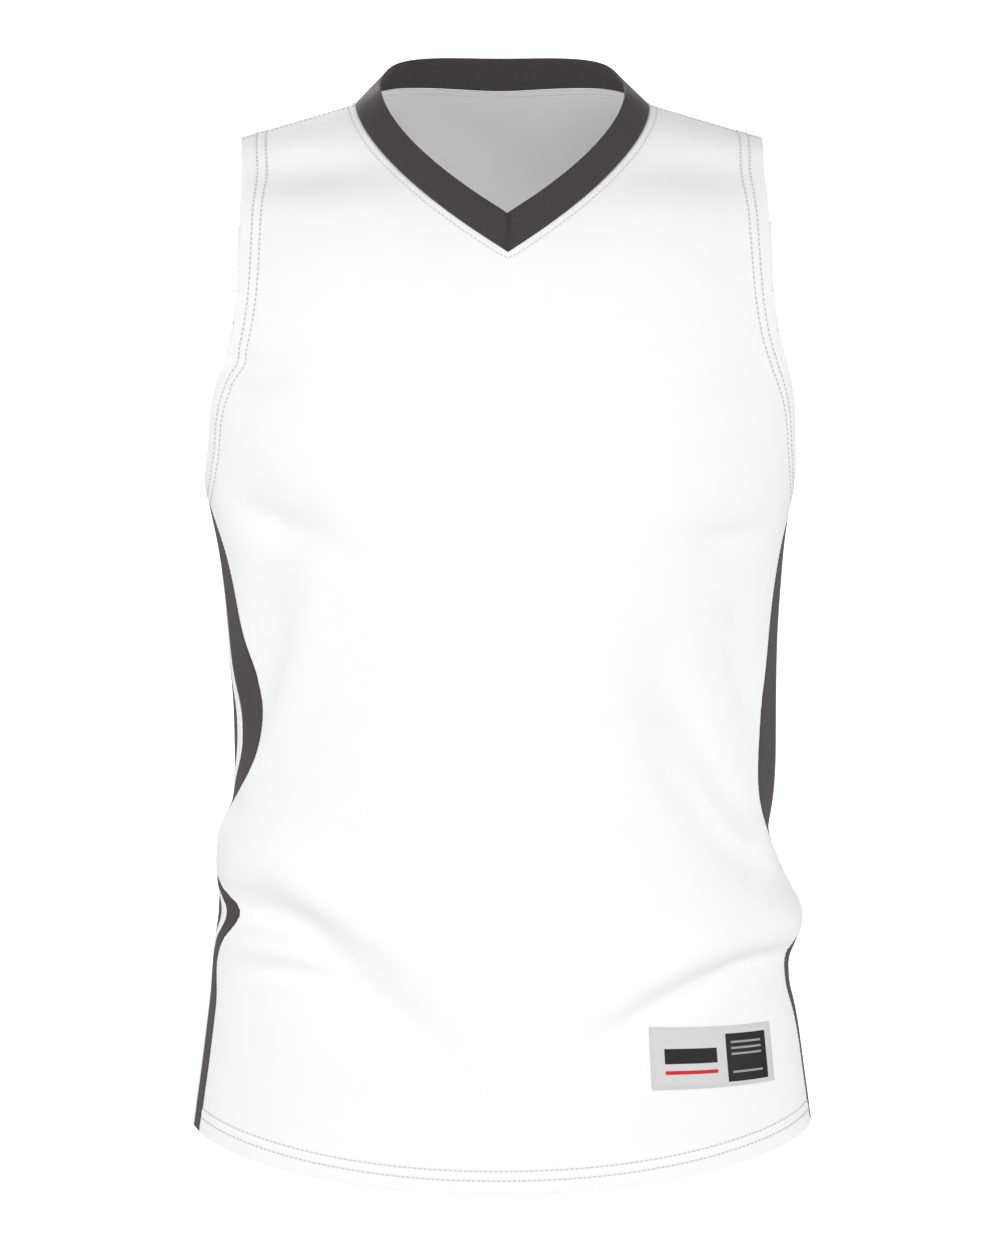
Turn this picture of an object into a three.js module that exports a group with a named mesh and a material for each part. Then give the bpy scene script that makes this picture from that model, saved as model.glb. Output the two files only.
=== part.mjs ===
import * as THREE from 'three';

// Basketball jersey, sleeveless, V neck, filled out with no wearer.
// Millimetres. The front faces -Y, +X is the viewer's right, +Z is up. The origin lies midway
// between the two points where the shoulder seams meet the neck.
// One surface is worked out from the body's sections, its folds and its shoulder line. Each cut
// piece is a stretch of that surface between its own seam lines, given the cloth's thickness.

// Driving dimensions
const CLOTH = 1.5;
const RIB = 2.0;
const SATIN = 0.7;
const SEAM_GAP = 0.3;
const NECK_HALF = 100.5;
const NECK_DROP = 98.4;
const NECK_POWER = 1.6;
const SHOULDER_HALF = 177;
const SHOULDER_DROP = 22;
const SHOULDER_ROUND = 110;
const SHOULDER_Y = 5;
const UNDERARM_Z = -258;
const HEM_SIDE_Z = -705;
const HEM_DIP_FRONT = 24;
const HEM_DIP_BACK = 20;
const SECTION_POWER = 2.3;
const STRIPE_WIDTH = 9;
const STRIPE_TOP_WIDTH = 2.4;
const BACK_NECK_RISE = 55.5;
const BACK_NECK_POWER = 3.3;
const COLUMNS = 14;
const BACK_SEAM_SWING = 0.4;
const INSERT_TAPER = 60;
const SIDE_FOLD_REACH = 0.8;
const FRONT = 1;
const BACK = -1;
const LEFT = -1;
const RIGHT = 1;

// A table is rows of numbers under the names of its columns.
function rowsOf(columns, rows) {
  const names = columns.split(' ');
  return rows.map((row) => Object.fromEntries(names.map((name, i) => [name, row[i]])));
}

// Sections of the body by height: half the width at the side line, and how far the middle of the
// front and of the back stand from the side line.
const SECTIONS = rowsOf('z half front back', [
  [60, 205, 52, 70],
  [0, 205, 64, 84],
  [-50, 205, 82, 101],
  [-100, 205, 97, 113],
  [-160, 205, 112, 121],
  [-220, 205.5, 120.5, 125],
  [-258, 204.5, 121, 124.5],
  [-275, 201, 120, 123],
  [-300, 196, 118, 120],
  [-345, 191, 113.5, 114],
  [-400, 189.3, 109, 107],
  [-450, 189, 106, 101.5],
  [-500, 190.3, 105.5, 103],
  [-550, 197, 107.5, 109],
  [-610, 204.3, 111.5, 118],
  [-660, 211, 115.5, 124],
  [-710, 218, 118.5, 126.5],
  [-760, 223, 120, 127],
]);

// Armhole edge by height, in degrees round from the side line.
const ARMHOLE = rowsOf('z front back', [
  [-22, 32.4, 32.4],
  [-48, 32.4, 33.5],
  [-88, 31.8, 34],
  [-131, 30.6, 32.5],
  [-157, 28, 29.8],
  [-171, 24.5, 27.6],
  [-185, 19.5, 24.8],
  [-198, 16.5, 21.5],
  [-212, 14.6, 18.4],
  [-226, 13.2, 15.6],
  [-238, 11.6, 12.8],
  [-248, 9.2, 9.6],
  [-254, 6.2, 6.4],
  [-258, 1, 1],
]);

// Side insert by height, in millimetres ahead of the side line: its front seam, the middle of its
// stripe and its back seam.
const INSERT = rowsOf('z front stripe back', [
  [-258, 3.6, 0, -3.6],
  [-272, 19, 3, -14],
  [-292, 34, 7, -28],
  [-320, 42, 10, -38],
  [-350, 45, 12, -42],
  [-400, 50, 14, -45],
  [-440, 51, 14, -46],
  [-500, 48, 14, -45],
  [-560, 41, 12, -42],
  [-620, 34, 9, -38],
  [-705, 31, 8, -36],
]);

// How the folds at the waist swing the insert forward (+) or back, push the side out (+) or in, and
// pull the left stripe forward of the middle.
const SIDE_FOLDS = rowsOf('z leftSwing leftOut rightSwing rightOut leftStripe', [
  [-170, 0, 0, 0, 0, 0],
  [-215, 0, 0, 0, -2.5, 0],
  [-255, 0, 0, 0, -3.5, 0],
  [-330, 0, 0, 0, 0, 0],
  [-380, 3, -0.5, -2, 0.5, 3],
  [-415, 7, -2, -2, 1, 10],
  [-442, 4, -2, 1, 1.5, 13],
  [-460, -10, -2.5, 1, 1, 11],
  [-474, -30, -2.5, 0, 0, 9],
  [-490, -50, 0.5, -8, -3, 7],
  [-502, -50, 3, -24, -4.5, 7],
  [-514, -48, 5.5, -42, -2, 7],
  [-526, -36, 8, -50, 3, 7],
  [-538, -6, 8, -50, 6.5, 9],
  [-550, 7, 4, -44, 9, 12],
  [-562, 1, 2, -24, 10, 13],
  [-574, -7, 1, -3, 8.5, 9],
  [-590, -12, 1, -1, 1, 4],
  [-606, -3, 0, -3, -3, 1],
  [-630, 1, 0, -6, 0, 0],
  [-705, 4, 0, -5, 0, 0],
]);

// Largest folds: each runs from one point to another by way of a third, in x and z on the front or
// the back, with half its width and its height out of the cloth (a trough is below zero).
const FOLDS = rowsOf('name on x1 z1 x2 z2 x3 z3 wide high', [
  ['left shoulder drape', FRONT, -180, -47, -135, -46, -72, -42, 17, -3.8],
  ['left shoulder break', FRONT, -172, -66, -130, -66, -78, -64, 15, 1.8],
  ['right shoulder drape', FRONT, 180, -47, 128, -46, 66, -44, 17, -3.8],
  ['right shoulder break', FRONT, 172, -66, 126, -66, 72, -66, 15, 1.8],
  ['left arm pinch', FRONT, -200, -181, -178, -182, -152, -178, 9, -3],
  ['left chest hollow', FRONT, -196, -228, -178, -268, -120, -288, 17, -4.5],
  ['left side trough', FRONT, -150, -292, -156, -364, -173, -425, 15, -8],
  ['left side ridge', FRONT, -129, -300, -131, -378, -182, -470, 10, 5],
  ['left waist ridge', FRONT, -196, -500, -150, -502, -92, -556, 16, 8],
  ['left waist trough', FRONT, -198, -548, -140, -536, -84, -592, 14, -8],
  ['left waist run-out', FRONT, -92, -582, -52, -618, -14, -690, 15, -4],
  ['left hip ridge', FRONT, -196, -568, -150, -556, -104, -574, 9, 4],
  ['left hip trough', FRONT, -192, -592, -140, -574, -60, -622, 12, -4.5],
  ['right chest hollow', FRONT, 128, -288, 149, -296, 170, -288, 12, -3],
  ['right side pull', FRONT, 146, -325, 156, -372, 172, -424, 10, -3.5],
  ['right waist trough', FRONT, 96, -368, 118, -462, 196, -540, 17, -8.5],
  ['right waist ridge', FRONT, 136, -420, 158, -478, 190, -512, 13, 5],
  ['right hip ridge', FRONT, 208, -560, 140, -552, 70, -604, 14, 6.5],
  ['right hip crease', FRONT, 204, -586, 150, -576, 54, -628, 9, -6.5],
  ['back neck drape', BACK, -60, -34, 0, -52, 60, -34, 16, -3],
  ['back blade pull left', BACK, -168, -150, -110, -190, -60, -290, 18, -4.5],
  ['back blade pull right', BACK, 166, -140, 118, -200, 70, -280, 18, -4],
  ['back side trough left', BACK, -150, -310, -140, -380, -170, -440, 15, -7],
  ['back side trough right', BACK, 156, -330, 132, -400, 168, -470, 15, -6.5],
  ['back waist ridge left', BACK, -194, -496, -130, -490, -60, -530, 15, 7],
  ['back waist trough left', BACK, -196, -534, -130, -522, -50, -570, 13, -7.5],
  ['back waist ridge right', BACK, 200, -548, 130, -510, 40, -512, 14, 6.5],
  ['back waist trough right', BACK, 202, -582, 136, -548, 56, -552, 12, -7],
  ['back hollow', BACK, -30, -410, 4, -450, 34, -470, 20, -4],
  ['back hem wave', BACK, 60, -620, 78, -670, 84, -730, 22, -5],
]);

// Back of the neck seam, from the shoulder seam to the middle, and how the band's top stands off it
const BACK_NECK = rowsOf('part x z bandIn bandBack bandUp', [
  [0, 100.5, 0, 17, 1, 13],
  [0.2, 97.6, 2.6, 16, 1, 16.5],
  [0.42, 84, 10.2, 11, -1, 18.5],
  [0.7, 52, 12.4, 4, -5, 20.8],
  [1, 0, 10, 0, -7, 23],
]);

// Front of the band: half width, height and curve of its inner edge, and how it leans back
const BAND_HALF = 83.5;
const BAND_TOP_Z = 13;
const BAND_POINT_Z = -72.5;
const BAND_POWER = 1.7;
const BAND_LEAN_POINT = 13;
const BAND_LEAN_SHOULDER = 1;
const BAND_CROWN = 1.2;

// Rows of the panels: those that end on the neck seam, how they gather towards the shoulder seam,
// the height on the armhole of the last one, and the rows from there to the underarm.
const NECK_ROWS = { front: 10, back: 8 };
const NECK_GATHER = { front: 1.5, back: 1 };
const ARM_GATHER = 1.5;
const BACK_ROW_STEEP = 2.6;
const BACK_ROW_FLAT = 3;
const NECK_ROW_ARM_Z = { front: -131, back: -88 };
const CHEST_ROWS = { front: 8, back: 12 };

// Rows below the underarm: where each stretch ends and how many rows it has
const BODY_STRETCHES = rowsOf('to rows', [
  [-300, 3],
  [-450, 10],
  [-620, 16],
  [HEM_SIDE_Z, 5],
]);

// Label: its corners on the front, clockwise from the upper left, and its distance off
const LABEL_CORNERS = rowsOf('x z', [
  [95, -617],
  [180, -623],
  [184, -664],
  [97, -660],
]);
const LABEL_OFF = 0.7;
const LABEL_COLUMNS = 9;
const LABEL_ROWS = 4;

const radians = THREE.MathUtils.degToRad;
const mix = THREE.MathUtils.lerp;
const clamp = THREE.MathUtils.clamp;

// Smooth curve through one column of a table, against another that rises or falls all the way.
function along(table, key, column, value) {
  const falling = table[0][key] > table[table.length - 1][key];
  const rows = falling ? [...table].reverse() : table;
  const last = rows.length - 1;
  const at = clamp(value, rows[0][key], rows[last][key]);
  let k = 0;
  while (k < last - 1 && rows[k + 1][key] < at) k += 1;
  const slope = (i) => (rows[i + 1][column] - rows[i][column]) / (rows[i + 1][key] - rows[i][key]);
  const tangent = (i) => {
    if (i === 0) return slope(0);
    if (i === last) return slope(last - 1);
    return slope(i - 1) * slope(i) <= 0 ? 0 : (slope(i - 1) + slope(i)) / 2;
  };
  const span = rows[k + 1][key] - rows[k][key];
  const t = (at - rows[k][key]) / span;
  const start = rows[k][column] * (1 + 2 * t) * (1 - t) ** 2 + tangent(k) * span * t * (1 - t) ** 2;
  const end = rows[k + 1][column] * (3 - 2 * t) * t ** 2 - tangent(k + 1) * span * (1 - t) * t ** 2;
  return start + end;
}

// Height of the shoulder line over x. Behind the neck it climbs towards the middle.
function shoulderLine(x, facing) {
  const across = Math.abs(x);
  if (across > NECK_HALF) {
    return -SHOULDER_DROP * (across - NECK_HALF) / (SHOULDER_HALF - NECK_HALF);
  }
  return facing === BACK ? BACK_NECK_RISE * (1 - (across / NECK_HALF) ** BACK_NECK_POWER) : 0;
}

// Point of the body's surface before folds, turned from the side line towards the front (+) or
// the back, and the direction out of it.
function bodyPoint(side, turn, z) {
  const facing = turn >= 0 ? FRONT : BACK;
  const half = along(SECTIONS, 'z', 'half', z);
  const depth = along(SECTIONS, 'z', facing === FRONT ? 'front' : 'back', z);
  const across = Math.cos(turn) ** (2 / SECTION_POWER);
  const ahead = Math.abs(Math.sin(turn)) ** (2 / SECTION_POWER);
  const x = side * half * across;
  const below = clamp((shoulderLine(x, facing) - z) / SHOULDER_ROUND, 0, 1);
  const full = Math.sqrt(1 - (1 - below) ** 2);
  const y = SHOULDER_Y + (-facing * depth * ahead - SHOULDER_Y) * full;
  const out = new THREE.Vector3(
    side * across ** (SECTION_POWER - 1) / half,
    -facing * ahead ** (SECTION_POWER - 1) / depth,
    0,
  );
  return { point: new THREE.Vector3(x, y, z), out: out.normalize(), across };
}

function turnAtX(x, z) {
  const share = Math.min(Math.abs(x) / along(SECTIONS, 'z', 'half', z), 1);
  return Math.acos(share ** (SECTION_POWER / 2));
}

function turnAhead(ahead, z) {
  const facing = ahead >= 0 ? FRONT : BACK;
  const depth = along(SECTIONS, 'z', facing === FRONT ? 'front' : 'back', z);
  return facing * Math.asin((Math.abs(ahead) / depth) ** (SECTION_POWER / 2));
}

// Each fold's line over the surface, as short straight steps.
const FOLD_STEPS = 14;
const FOLD_END = 0.12;
const foldLines = FOLDS.map((fold) => {
  const line = [];
  for (let i = 0; i <= FOLD_STEPS; i += 1) {
    const t = i / FOLD_STEPS;
    const x = fold.x1 * (1 - t) ** 2 + 2 * fold.x2 * t * (1 - t) + fold.x3 * t ** 2;
    const z = fold.z1 * (1 - t) ** 2 + 2 * fold.z2 * t * (1 - t) + fold.z3 * t ** 2;
    line.push(bodyPoint(Math.sign(x) || RIGHT, fold.on * turnAtX(x, z), z).point);
  }
  return line;
});

// Height that the folds give a point: highest halfway along a fold, running out at its ends.
function foldHeight(point) {
  let height = 0;
  const nearest = new THREE.Vector3();
  FOLDS.forEach((fold, index) => {
    const line = foldLines[index];
    let best = Infinity;
    let reached = 0;
    for (let i = 0; i < FOLD_STEPS; i += 1) {
      const step = new THREE.Line3(line[i], line[i + 1]);
      const t = step.closestPointToPointParameter(point, true);
      const distance = step.at(t, nearest).distanceTo(point);
      if (distance < best) {
        best = distance;
        reached = (i + t) / FOLD_STEPS;
      }
    }
    const strength = Math.sin(Math.PI * mix(FOLD_END, 1 - FOLD_END, reached));
    height += fold.high * strength * Math.exp(-((best / fold.wide) ** 2));
  });
  return height;
}

// Point of the finished surface, with its folds, moved out by a distance.
function surfacePoint(side, turn, z, off = 0) {
  const { point, out, across } = bodyPoint(side, turn, z);
  const sideOut = along(SIDE_FOLDS, 'z', side === LEFT ? 'leftOut' : 'rightOut', z);
  const sideShare = THREE.MathUtils.smoothstep(across, SIDE_FOLD_REACH, 1);
  return point.addScaledVector(out, foldHeight(point) + sideOut * sideShare + off);
}

// Seams of the side insert, as turns from the side line
function insertTurn(side, z, seam) {
  const swing = along(SIDE_FOLDS, 'z', side === LEFT ? 'leftSwing' : 'rightSwing', z);
  const drop = clamp((UNDERARM_Z - z) / INSERT_TAPER, 0, 1);
  const stripeHalf = mix(STRIPE_TOP_WIDTH, STRIPE_WIDTH, drop) / 2;
  const column = seam.startsWith('stripe') ? 'stripe' : seam;
  const edge = { stripeFront: stripeHalf, stripeBack: -stripeHalf }[seam] ?? 0;
  const pull = column === 'stripe' && side === LEFT ? along(SIDE_FOLDS, 'z', 'leftStripe', z) : 0;
  const ahead = along(INSERT, 'z', column, z) + edge + pull;
  return turnAhead(ahead + swing * (seam === 'back' ? BACK_SEAM_SWING : 1), z);
}

// Heights at the side line of the rows below the underarm
const bodyRows = [UNDERARM_Z];
BODY_STRETCHES.forEach(({ to, rows }) => {
  const from = bodyRows[bodyRows.length - 1];
  for (let i = 1; i <= rows; i += 1) bodyRows.push(mix(from, to, i / rows));
});

// The hem and the rows above it dip towards the middle of the front and the back.
function dipped(z, across, facing) {
  const dip = facing === FRONT ? HEM_DIP_FRONT : HEM_DIP_BACK;
  const share = clamp((UNDERARM_Z - z) / (UNDERARM_Z - HEM_SIDE_Z), 0, 1);
  return z - dip * share * (1 - across ** 2);
}

// Points of the neck seam, and how the rows that start there fall: steeply at first, as behind the
// shoulder seam, where they drop at once below the shoulder line, or flat (1) as at the middle.
function frontNeck(share) {
  const x = NECK_HALF * (1 - share ** NECK_POWER);
  return { x, z: -NECK_DROP * share, steep: 1, flat: share < 1 ? 0 : 1 };
}

function backNeck(part) {
  return {
    x: along(BACK_NECK, 'part', 'x', part),
    z: along(BACK_NECK, 'part', 'z', part),
    steep: part > 0 ? 1 + BACK_ROW_STEEP * (1 - part) ** 2 : 1,
    flat: part ** BACK_ROW_FLAT,
  };
}

// One row of a panel's half, from its outer end to the neck seam or the middle line
function upperRow(side, facing, neck, armZ) {
  const edge = facing === FRONT ? 'front' : 'back';
  const outer = armZ <= UNDERARM_Z ? insertTurn(side, armZ, edge)
    : facing * radians(along(ARMHOLE, 'z', edge, armZ));
  const inner = turnAtX(neck.x, neck.z);
  const row = [];
  for (let i = 0; i <= COLUMNS; i += 1) {
    const turn = mix(Math.abs(outer), inner, i / COLUMNS);
    const across = Math.cos(turn) ** (2 / SECTION_POWER);
    const outerAcross = Math.cos(outer) ** (2 / SECTION_POWER);
    const innerAcross = Math.cos(inner) ** (2 / SECTION_POWER);
    const share = (across - innerAcross) / (outerAcross - innerAcross);
    const fall = mix(1 - (1 - share) ** neck.steep, share ** 2, neck.flat);
    const z = mix(neck.z, armZ, fall);
    row.push(surfacePoint(side, facing * turn, z));
  }
  return row;
}

function lowerRow(side, facing, z) {
  const outer = insertTurn(side, z, facing === FRONT ? 'front' : 'back');
  const outerAcross = Math.cos(outer) ** (2 / SECTION_POWER);
  const row = [];
  for (let i = 0; i <= COLUMNS; i += 1) {
    const turn = mix(outer, facing * Math.PI / 2, i / COLUMNS);
    const across = Math.cos(turn) ** (2 / SECTION_POWER);
    row.push(surfacePoint(side, turn, dipped(z, across / outerAcross, facing)));
  }
  return row;
}

// Rows that end on the neck seam: how far along it each lies, and its height on the armhole
function neckRows(facing) {
  const edge = facing === FRONT ? 'front' : 'back';
  const rows = [];
  for (let i = 0; i <= NECK_ROWS[edge]; i += 1) {
    const share = i / NECK_ROWS[edge];
    const armShare = share ** ARM_GATHER;
    const arm = mix(-SHOULDER_DROP, NECK_ROW_ARM_Z[edge], armShare);
    rows.push({ neck: share ** NECK_GATHER[edge], arm });
  }
  return rows;
}

function panelHalf(side, facing) {
  const edge = facing === FRONT ? 'front' : 'back';
  const neckSeam = facing === FRONT ? frontNeck : backNeck;
  const rows = neckRows(facing).map(({ neck, arm }) => upperRow(side, facing, neckSeam(neck), arm));
  for (let i = 1; i <= CHEST_ROWS[edge]; i += 1) {
    const share = i / CHEST_ROWS[edge];
    const armShare = 1 - (1 - share) ** ARM_GATHER;
    const middle = { x: 0, z: mix(neckSeam(1).z, UNDERARM_Z, share), steep: 1, flat: 1 };
    rows.push(upperRow(side, facing, middle, mix(NECK_ROW_ARM_Z[edge], UNDERARM_Z, armShare)));
  }
  bodyRows.slice(1).forEach((z) => rows.push(lowerRow(side, facing, z)));
  return rows;
}

function insertStrip(side, from, to, columns) {
  return bodyRows.map((z) => {
    const row = [];
    for (let i = 0; i <= columns; i += 1) {
      const turn = mix(insertTurn(side, z, from), insertTurn(side, z, to), i / columns);
      row.push(surfacePoint(side, turn, z));
    }
    return row;
  });
}

// One station of the neckband: seam, crown and top edge
function bandStation(seam, top) {
  const crown = seam.clone().add(top).multiplyScalar(0.5);
  const away = new THREE.Vector3(seam.x, seam.y - SHOULDER_Y, 0).normalize();
  return [seam, crown.addScaledVector(away, BAND_CROWN), top];
}

function bandHalf(side) {
  const stations = neckRows(FRONT).reverse().map(({ neck }) => {
    const seamAt = frontNeck(neck);
    const seam = surfacePoint(side, turnAtX(seamAt.x, seamAt.z), seamAt.z);
    const lean = mix(BAND_LEAN_SHOULDER, BAND_LEAN_POINT, neck);
    const top = new THREE.Vector3(
      side * BAND_HALF * (1 - neck ** BAND_POWER),
      seam.y + lean,
      mix(BAND_TOP_Z, BAND_POINT_Z, neck),
    );
    return bandStation(seam, top);
  });
  neckRows(BACK).slice(1).forEach(({ neck }) => {
    const seamAt = backNeck(neck);
    const seam = surfacePoint(side, -turnAtX(seamAt.x, seamAt.z), seamAt.z);
    const top = new THREE.Vector3(
      side * (seamAt.x - along(BACK_NECK, 'part', 'bandIn', neck)),
      seam.y + along(BACK_NECK, 'part', 'bandBack', neck),
      seam.z + along(BACK_NECK, 'part', 'bandUp', neck),
    );
    stations.push(bandStation(seam, top));
  });
  return stations;
}

function labelPatch() {
  const rows = [];
  for (let j = 0; j <= LABEL_ROWS; j += 1) {
    const row = [];
    for (let i = 0; i <= LABEL_COLUMNS; i += 1) {
      const place = (key) => mix(
        mix(LABEL_CORNERS[0][key], LABEL_CORNERS[1][key], i / LABEL_COLUMNS),
        mix(LABEL_CORNERS[3][key], LABEL_CORNERS[2][key], i / LABEL_COLUMNS),
        j / LABEL_ROWS,
      );
      const turn = turnAtX(place('x'), place('z'));
      row.push(surfacePoint(RIGHT, turn, place('z'), LABEL_OFF + SATIN));
    }
    rows.push(row);
  }
  return rows;
}

// A sheet is patches of rows of points, welded where they meet. A patch that is flipped has its
// faces the other way round, so that all face out.
function makeSheet(patches) {
  const points = [];
  const indexOf = new Map();
  const keyOf = (p) => `${Math.round(p.x * 100)},${Math.round(p.y * 100)},${Math.round(p.z * 100)}`;
  const weld = (p) => {
    const key = keyOf(p);
    if (!indexOf.has(key)) {
      indexOf.set(key, points.length);
      points.push(p);
    }
    return indexOf.get(key);
  };
  const faces = [];
  const addFace = (a, b, c, flipped) => {
    if (a === b || b === c || c === a) return;
    faces.push(flipped ? [a, c, b] : [a, b, c]);
  };
  patches.forEach(({ rows, flipped }) => {
    for (let j = 0; j < rows.length - 1; j += 1) {
      for (let i = 0; i < rows[j].length - 1; i += 1) {
        const [p, q, r, s] = [rows[j][i], rows[j][i + 1], rows[j + 1][i + 1], rows[j + 1][i]];
        const [a, b, c, d] = [weld(p), weld(q), weld(r), weld(s)];
        if (p.distanceTo(r) <= q.distanceTo(s)) {
          addFace(a, c, b, flipped);
          addFace(a, d, c, flipped);
        } else {
          addFace(a, d, b, flipped);
          addFace(b, d, c, flipped);
        }
      }
    }
  });
  const keys = points.map(keyOf);
  return { points, faces, keys };
}

function faceNormal(points, [a, b, c]) {
  const u = points[b].clone().sub(points[a]);
  return u.cross(points[c].clone().sub(points[a]));
}

// Directions out of a sheet's points, shared where two sheets meet at a seam, so that both walls
// have the same slant there.
function shareNormals(sheets) {
  const shared = new Map();
  sheets.forEach(({ points, faces, keys }) => {
    faces.forEach((face) => {
      const normal = faceNormal(points, face);
      face.forEach((v) => {
        if (!shared.has(keys[v])) shared.set(keys[v], new THREE.Vector3());
        shared.get(keys[v]).add(normal);
      });
    });
  });
  shared.forEach((normal) => normal.normalize());
  sheets.forEach((sheet) => {
    sheet.normals = sheet.keys.map((key) => shared.get(key));
  });
}

// Closed wall on a sheet: the outer points are drawn in from the seams by half the gap, and the
// inner ones lie the wall's thickness inside them.
function makeWall(sheet, thickness) {
  const { points, faces, normals } = sheet;
  const rim = new Map();
  faces.forEach((face) => {
    for (let i = 0; i < 3; i += 1) {
      const [a, b, c] = [face[i], face[(i + 1) % 3], face[(i + 2) % 3]];
      if (rim.has(`${b},${a}`)) rim.delete(`${b},${a}`);
      else rim.set(`${a},${b}`, { a, b, c });
    }
  });
  const inward = new Map();
  rim.forEach(({ a, b, c }) => {
    const edge = points[b].clone().sub(points[a]).normalize();
    const into = points[c].clone().sub(points[a]);
    into.addScaledVector(edge, -into.dot(edge)).normalize();
    [a, b].forEach((v) => {
      if (!inward.has(v)) inward.set(v, []);
      inward.get(v).push(into);
    });
  });
  const outer = points.map((p) => p.clone());
  inward.forEach((list, v) => {
    const sum = list.reduce((total, into) => total.add(into), new THREE.Vector3());
    const spread = Math.max(sum.length() / list.length, 0.5);
    outer[v].addScaledVector(sum.normalize(), SEAM_GAP / 2 / spread);
  });
  const inner = outer.map((p, v) => p.clone().addScaledVector(normals[v], -thickness));
  const positions = [];
  [...outer, ...inner].forEach((p) => positions.push(p.x, p.y, p.z));
  const count = points.length;
  const index = [];
  faces.forEach(([a, b, c]) => {
    index.push(a, b, c);
    index.push(a + count, c + count, b + count);
  });
  rim.forEach(({ a, b }) => {
    index.push(a, a + count, b + count);
    index.push(a, b + count, b);
  });
  const geometry = new THREE.BufferGeometry();
  geometry.setAttribute('position', new THREE.Float32BufferAttribute(positions, 3));
  geometry.setIndex(index);
  geometry.computeVertexNormals();
  return geometry;
}

const whiteKnit = new THREE.MeshStandardMaterial({ color: '#f8f8f8', roughness: 0.8, metalness: 0 });
const darkKnit = new THREE.MeshStandardMaterial({ color: '#534f50', roughness: 0.78, metalness: 0 });
const darkRib = new THREE.MeshStandardMaterial({ color: '#555152', roughness: 0.85, metalness: 0 });
const satin = new THREE.MeshStandardMaterial({ color: '#e6e6e8', roughness: 0.35, metalness: 0 });

function bothHalves(make) {
  return [LEFT, RIGHT].map((side) => ({ rows: make(side), flipped: side === RIGHT }));
}

function turned({ rows, flipped }) {
  return { rows, flipped: !flipped };
}

function frontHalf(side) {
  return panelHalf(side, FRONT);
}

function backHalf(side) {
  return panelHalf(side, BACK);
}

// The three strips of one side's insert, from the front seam to the back seam
function sideInsert(side, word) {
  const strip = (part, from, to, columns, material) => ({
    name: `side_${word}_${part}`,
    patches: [{ rows: insertStrip(side, from, to, columns), flipped: side === LEFT }],
    thick: CLOTH,
    material,
  });
  return [
    strip('front', 'front', 'stripeFront', 1, darkKnit),
    strip('stripe', 'stripeFront', 'stripeBack', 1, whiteKnit),
    strip('back', 'stripeBack', 'back', 3, darkKnit),
  ];
}

const cutPieces = [
  { name: 'front', patches: bothHalves(frontHalf), thick: CLOTH, material: whiteKnit },
  { name: 'back', patches: bothHalves(backHalf).map(turned), thick: CLOTH, material: whiteKnit },
  { name: 'neckband', patches: bothHalves(bandHalf).map(turned), thick: RIB, material: darkRib },
  ...sideInsert(LEFT, 'left'),
  ...sideInsert(RIGHT, 'right'),
  { name: 'label', patches: [{ rows: labelPatch(), flipped: false }], thick: SATIN, material: satin },
];

const sheets = cutPieces.map(({ patches }) => makeSheet(patches));
shareNormals(sheets);

const jersey = new THREE.Group();
cutPieces.forEach(({ name, thick, material }, i) => {
  const mesh = new THREE.Mesh(makeWall(sheets[i], thick), material);
  mesh.name = name;
  jersey.add(mesh);
});

export default jersey;
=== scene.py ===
"""A sleeveless basketball jersey: the look of its cloth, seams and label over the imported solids.

Lengths are metres in the part's own frame: +Z up, -Y towards the front, +X to the viewer's right.
The origin is midway between the two points where the shoulder seams meet the neck seam.
Tables that say so give millimetres, as the part's own sizes do.
"""

import math

import bmesh
import bpy
import numpy as np
from bpy.props import FloatProperty, FloatVectorProperty, PointerProperty
from mathutils import Matrix, Vector
from mathutils.bvhtree import BVHTree
from mathutils.kdtree import KDTree


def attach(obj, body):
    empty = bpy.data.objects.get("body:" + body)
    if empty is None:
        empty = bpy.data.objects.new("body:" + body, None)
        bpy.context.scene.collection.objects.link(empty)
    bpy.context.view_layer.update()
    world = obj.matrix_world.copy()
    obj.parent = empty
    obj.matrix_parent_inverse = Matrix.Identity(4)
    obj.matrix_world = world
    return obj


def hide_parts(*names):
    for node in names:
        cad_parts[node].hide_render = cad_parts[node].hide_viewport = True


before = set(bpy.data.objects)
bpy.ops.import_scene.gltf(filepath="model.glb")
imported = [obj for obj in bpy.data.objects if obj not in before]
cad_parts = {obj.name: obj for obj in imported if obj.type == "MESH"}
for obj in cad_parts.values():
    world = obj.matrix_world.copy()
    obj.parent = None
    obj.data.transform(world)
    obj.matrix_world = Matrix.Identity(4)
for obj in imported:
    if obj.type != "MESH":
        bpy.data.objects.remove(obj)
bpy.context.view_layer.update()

bl_info = {
    "name": "Basketball jersey",
    "version": (1, 0, 0),
    "blender": (4, 5, 0),
    "location": "3D Viewport > Sidebar > Jersey",
    "description": "Dresses the solids of a sleeveless jersey in knit cloth, rib and stitching",
    "category": "Object",
}

MM = 0.001
BODY = "root"
MERGE = 1e-6

# The solids' walls: the cloth, the neckband and the label.
CLOTH_WALL = 1.5 * MM
BAND_WALL = 2.0 * MM
LABEL_WALL = 0.7 * MM

# How a wall's rim is told from its two faces.
RIM_SLACK = 1.12
RIM_ANGLE = math.radians(50)
CORNER_ANGLE = math.radians(60)

# The mean section round the body, for laying the knit on it.
BODY_HALF = 203 * MM
BODY_DEPTH = 122 * MM
SECTION_POWER = 2.3
SECTION_STEPS = 180

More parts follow.
